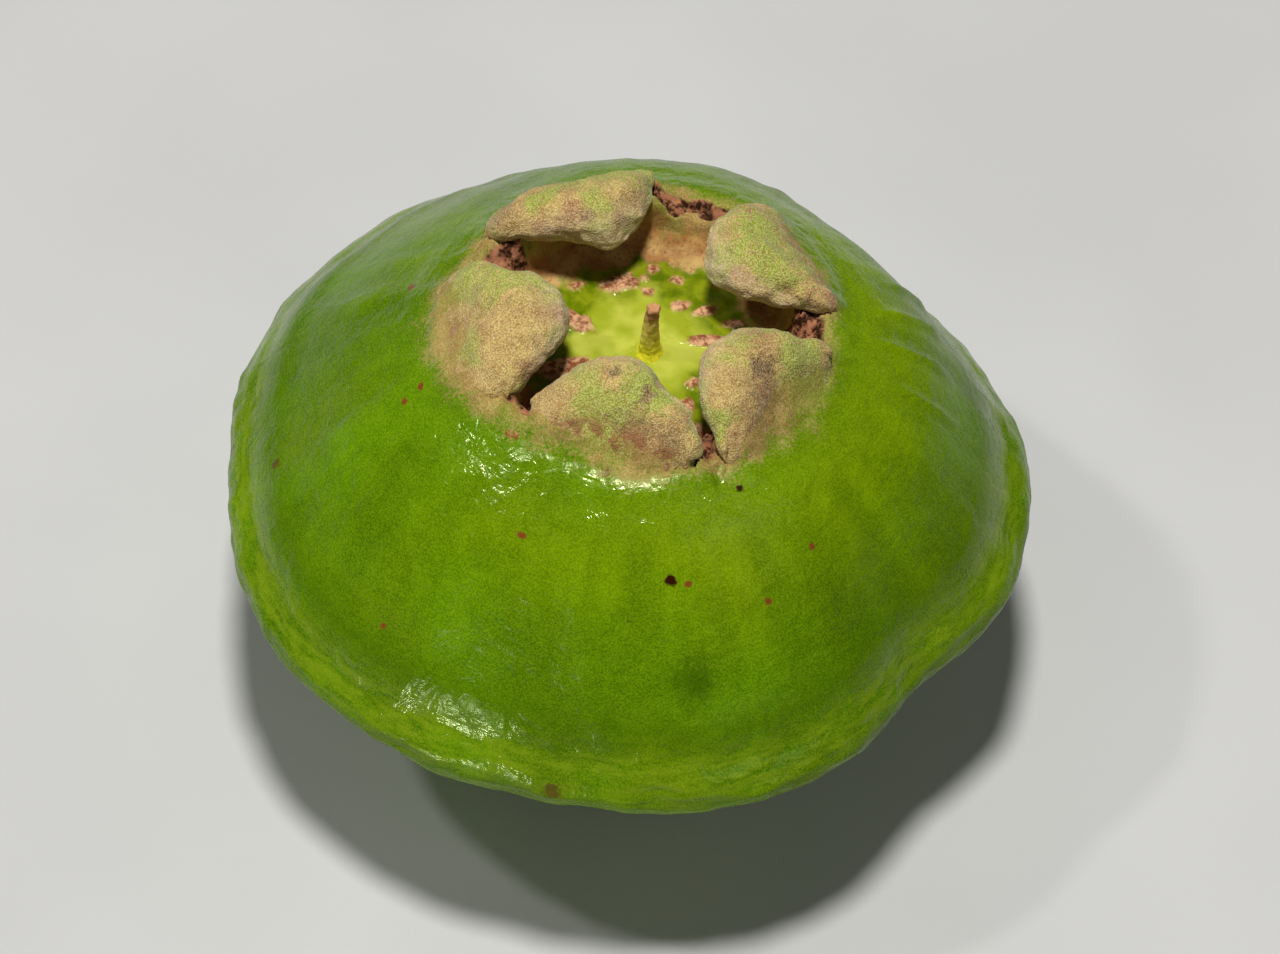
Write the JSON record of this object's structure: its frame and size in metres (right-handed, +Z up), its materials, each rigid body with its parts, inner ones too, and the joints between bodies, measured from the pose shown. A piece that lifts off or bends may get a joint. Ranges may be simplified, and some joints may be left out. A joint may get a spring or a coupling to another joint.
{
  "type": "cambuci fruit",
  "caption": "Whole green cambuci fruit, lens-shaped with a raised rim, dry sepals curled in over a shallow cup and a dried style, resting on a small flat spot.",
  "frame": {"origin": "on the ground under the middle of the outline, within the flat resting spot round the stalk scar", "axes": "+Z up through the cup at the flower end; +X to the right and +Y away, seen from the front"},
  "size_m": [0.0556, 0.0558, 0.0368],
  "materials": {
    "skin": "satin waxy skin, felted near the cup",
    "sepal": "dry felt",
    "style": "dry, matte"
  },
  "bodies": {
    "root": {"fruit_body": "skin", "sepal_back_left": "sepal", "sepal_left": "sepal", "sepal_front": "sepal", "sepal_front_right": "sepal", "sepal_back_right": "sepal", "style": "style"}
  },
  "joints": []
}
